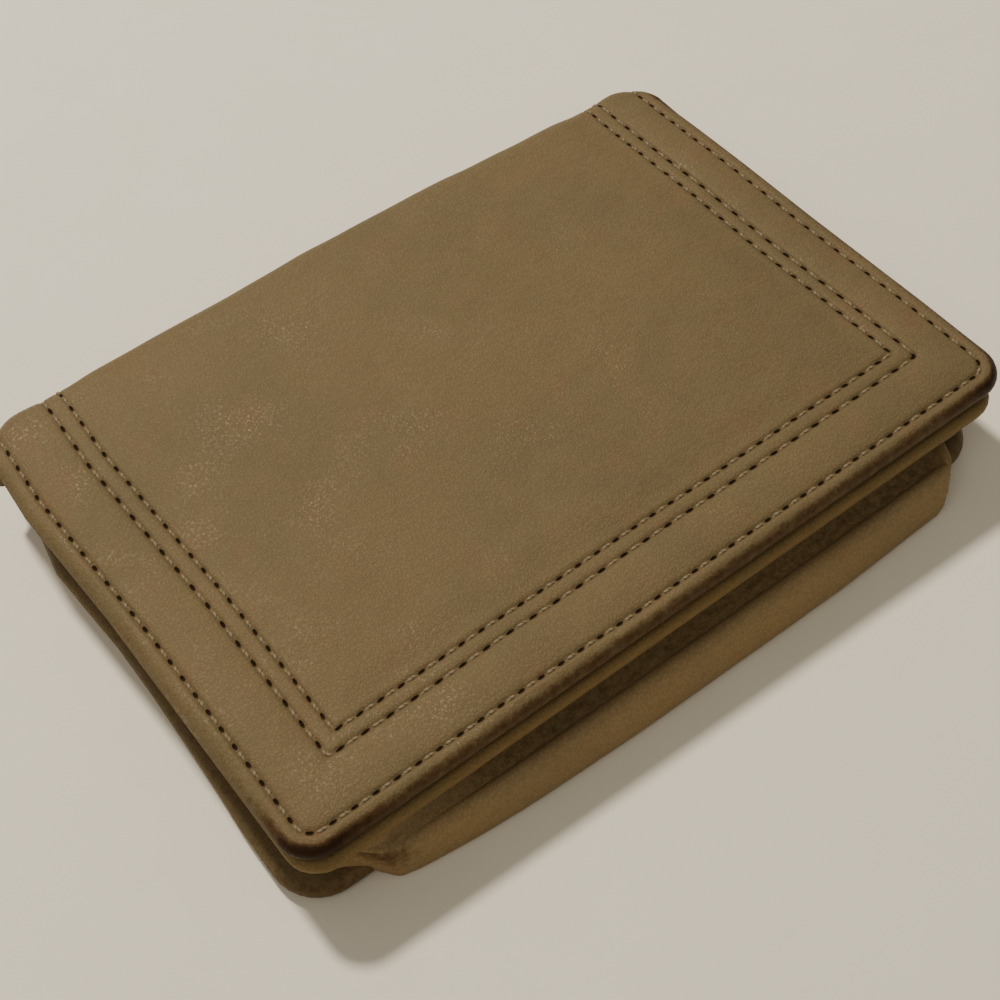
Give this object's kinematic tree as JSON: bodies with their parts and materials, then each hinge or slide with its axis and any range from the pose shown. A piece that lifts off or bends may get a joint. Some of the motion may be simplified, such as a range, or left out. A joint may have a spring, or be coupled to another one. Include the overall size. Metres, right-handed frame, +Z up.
{
  "type": "coin purse",
  "caption": "Small stitched leather purse lying closed: a flap folds over the spine and snaps onto the front wall of a gusseted pouch.",
  "frame": {"origin": "on the resting plane, under the middle of the closed purse's outer box", "axes": "+X along the spine, +Y towards the spine, +Z up through the flap"},
  "size_m": [0.108, 0.08, 0.016],
  "materials": {
    "cover_leather": "pebbled, worn satin, edges burnished dark",
    "wall_leather": "pebbled, satin",
    "gusset_leather": "soft, creased, matt",
    "lining_leather": "smooth, matt",
    "stiffener_board": "bonded leather board, matt",
    "waxed_thread": "waxed, satin",
    "snap_brass": "aged, satin"
  },
  "bodies": {
    "back": {"back_leather": "cover_leather", "back_board": "stiffener_board", "back_lining": "lining_leather", "back_seam_thread": "waxed_thread", "lower_fold_leather": "cover_leather", "gusset_bottom": "gusset_leather", "gusset_left": "gusset_leather", "gusset_right": "gusset_leather"},
    "spine": {"spine_leather": "cover_leather", "spine_lining": "lining_leather"},
    "flap": {"upper_fold_leather": "cover_leather", "flap_leather": "cover_leather", "flap_board": "stiffener_board", "flap_lining": "lining_leather", "flap_edge_thread": "waxed_thread", "frame_outer_thread": "waxed_thread", "frame_inner_thread": "waxed_thread", "snap_cap": "snap_brass", "snap_socket": "snap_brass"},
    "front_wall": {"front_wall_leather": "wall_leather", "front_wall_board": "stiffener_board", "front_wall_lining": "lining_leather", "front_wall_thread": "waxed_thread", "mouth_hem_thread": "waxed_thread", "snap_stud": "snap_brass", "snap_post": "snap_brass"}
  },
  "joints": [
    {"name": "spine_fold", "type": "hinge", "parent": "back", "child": "spine", "pos_m": [0, 0.0384, 0.0016], "axis": [-1, 0, 0], "range_deg": [0, 90], "deforming": ["lower_fold_leather"]},
    {"name": "flap_fold", "type": "hinge", "parent": "spine", "child": "flap", "pos_m": [0, 0.0384, 0.0142], "axis": [-1, 0, 0], "range_deg": [0, 90], "deforming": ["upper_fold_leather"]},
    {"name": "mouth_open", "type": "hinge", "parent": "back", "child": "front_wall", "pos_m": [0, -0.035, 0.0063], "axis": [1, 0, 0], "range_deg": [0, 16], "deforming": ["gusset_bottom", "gusset_left", "gusset_right"]}
  ],
  "couplings": [
    {"joint": "spine_fold", "follows": "flap_fold", "ratio": 1},
    {"joint": "mouth_open", "follows": "flap_fold", "ratio": 0.17778}
  ]
}
